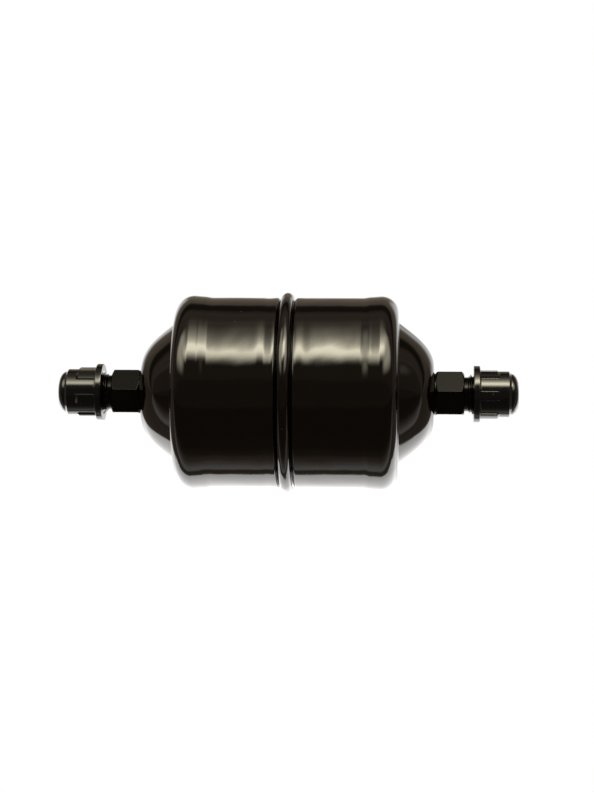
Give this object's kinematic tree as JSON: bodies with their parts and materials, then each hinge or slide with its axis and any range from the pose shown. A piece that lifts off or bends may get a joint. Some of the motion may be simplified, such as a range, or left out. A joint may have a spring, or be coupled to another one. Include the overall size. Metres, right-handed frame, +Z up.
{
  "type": "filter drier",
  "caption": "Sealed in-line filter drier: two welded half shells, flare fittings with hexagons, screwed caps, and a spring-held drying core inside.",
  "frame": {"origin": "on the long axis, at the middle of the seam weld", "axes": "+X along the axis from the inlet to the outlet, +Z up with the drier lying down, the hexagons' front edges 6.5 degrees from +Z towards +Y"},
  "size_m": [0.1826, 0.0802, 0.0802],
  "materials": {
    "shell_enamel": "gloss",
    "weld_enamel": "gloss",
    "fitting_enamel": "satin",
    "cap_plastic": "gloss",
    "liner_rubber": "matte",
    "bare_steel": "satin",
    "spring_steel": "satin",
    "wire_gauze": "satin",
    "core_block": "matte",
    "felt": "matte"
  },
  "bodies": {
    "drier": {"inlet_shell": "shell_enamel", "outlet_shell": "shell_enamel", "seam_weld": "weld_enamel", "backing_ring": "bare_steel", "inlet_fitting": "fitting_enamel", "outlet_fitting": "fitting_enamel", "inlet_braze_ring": "fitting_enamel", "outlet_braze_ring": "fitting_enamel", "core_spring": "spring_steel", "inlet_plate": "bare_steel", "drying_core": "core_block", "core_felt_ring": "felt", "filter_pad": "felt", "outlet_screen": "wire_gauze", "outlet_plate": "bare_steel"},
    "inlet_seal": {"inlet_cap_liner": "liner_rubber"},
    "inlet_cap": {"inlet_cap": "cap_plastic"},
    "outlet_seal": {"outlet_cap_liner": "liner_rubber"},
    "outlet_cap": {"outlet_cap": "cap_plastic"}
  },
  "joints": [
    {"name": "inlet_cap_travel", "type": "slide", "parent": "drier", "child": "inlet_seal", "axis": [-1, 0, 0], "range_m": [0, 0.0155]},
    {"name": "inlet_cap_turn", "type": "hinge", "parent": "inlet_seal", "child": "inlet_cap", "pos_m": [-0.08145, 0, 0], "axis": [-1, 0, 0], "range_deg": [0, 3960]},
    {"name": "outlet_cap_travel", "type": "slide", "parent": "drier", "child": "outlet_seal", "axis": [1, 0, 0], "range_m": [0, 0.0155]},
    {"name": "outlet_cap_turn", "type": "hinge", "parent": "outlet_seal", "child": "outlet_cap", "pos_m": [0.08145, 0, 0], "axis": [1, 0, 0], "range_deg": [0, 3960]}
  ],
  "couplings": [
    {"joint": "inlet_cap_turn", "follows": "inlet_cap_travel", "rad_per_m": 4452.7},
    {"joint": "outlet_cap_turn", "follows": "outlet_cap_travel", "rad_per_m": 4452.7}
  ]
}
